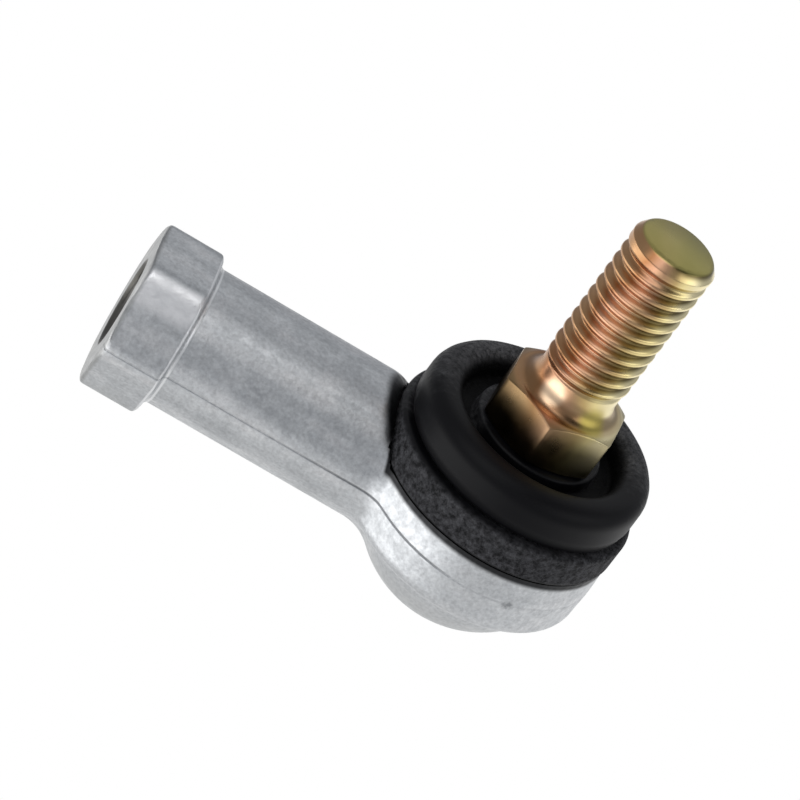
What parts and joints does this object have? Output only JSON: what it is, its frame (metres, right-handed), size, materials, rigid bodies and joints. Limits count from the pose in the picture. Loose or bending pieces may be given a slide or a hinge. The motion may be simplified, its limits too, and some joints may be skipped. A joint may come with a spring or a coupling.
{
  "type": "ball joint",
  "caption": "Right-angle ball joint: cast rod end with a hexagonal threaded shank, a plated threaded ball stud that swivels and tilts, and a black rubber dust boot.",
  "frame": {"origin": "centre of the mouth of the rod thread, on the end face of the shank's hexagon", "axes": "+X along the shank, from the rod thread to the ball; +Z along the stud, away from the ball; +Y completes the right-handed set"},
  "size_m": [0.0365, 0.0178, 0.0327],
  "materials": {
    "zinc_casting": "satin die-cast zinc alloy",
    "plated_steel": "yellow chromate over zinc plating",
    "bearing_steel": "ground and polished",
    "boot_rubber": "moulded, satin, finely grained on the skirt"
  },
  "bodies": {
    "housing": {"housing": "zinc_casting"},
    "boot": {"dust_boot": "boot_rubber"},
    "stud": {"stud": "plated_steel", "ball": "bearing_steel"}
  },
  "joints": [
    {"name": "swivel", "type": "hinge", "parent": "housing", "child": "boot", "pos_m": [0.0276, 0, 0], "axis": [0, 0, 1], "continuous": true},
    {"name": "tilt", "type": "hinge", "parent": "boot", "child": "stud", "pos_m": [0.0276, 0, 0], "axis": [0, 1, 0], "range_deg": [-20, 20], "deforming": ["dust_boot"]}
  ]
}
